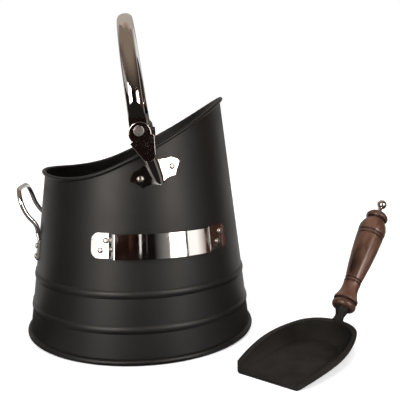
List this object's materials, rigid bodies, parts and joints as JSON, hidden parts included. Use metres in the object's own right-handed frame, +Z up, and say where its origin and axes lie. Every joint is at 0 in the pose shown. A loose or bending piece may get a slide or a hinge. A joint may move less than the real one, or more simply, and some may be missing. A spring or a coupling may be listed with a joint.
{
  "type": "ash bucket with shovel",
  "caption": "Tapered black steel ash bucket with a slanted rolled rim, swinging bail, rear loop handle and a side strap for the small wood-gripped shovel beside it.",
  "frame": {"origin": "on the floor, under the middle of the bucket's base", "axes": "+X towards the tall pouring lip, +Y to the bucket's left side away from the strap, +Z up"},
  "size_m": [0.4669, 0.3494, 0.3802],
  "materials": {
    "black_paint": "satin",
    "plain_steel": "plain",
    "bright_chrome": "polished",
    "rivet_metal": "dull",
    "black_casting": "matte black",
    "turned_wood": "lacquered"
  },
  "bodies": {
    "bucket": {"bucket_shell": "black_paint", "rim_wire": "plain_steel", "base_plate": "black_paint", "bail_bracket_right": "bright_chrome", "bail_bracket_left": "bright_chrome", "bracket_rivets_right": "rivet_metal", "bracket_rivets_left": "rivet_metal", "pivot_rivet_right": "rivet_metal", "pivot_rivet_left": "rivet_metal", "shovel_strap": "bright_chrome", "strap_rivets_low_side": "rivet_metal", "strap_rivets_lip_side": "rivet_metal", "loop_handle": "bright_chrome", "loop_rivets_right": "rivet_metal", "loop_rivets_left": "rivet_metal"},
    "bail": {"bail_handle": "bright_chrome"},
    "shovel": {"shovel_pan": "black_casting", "shovel_tie_rod": "plain_steel", "shovel_grip": "turned_wood", "ball_finial": "bright_chrome"}
  },
  "joints": [
    {"name": "bail_swing", "type": "hinge", "parent": "bucket", "child": "bail", "pos_m": [0.0054, 0, 0.24712], "axis": [0, 1, 0], "range_deg": [-100, 80]},
    {"name": "shovel_lift", "type": "slide", "parent": "bucket", "child": "shovel", "axis": [0, 0, 1], "range_m": [0, 0.3]}
  ]
}
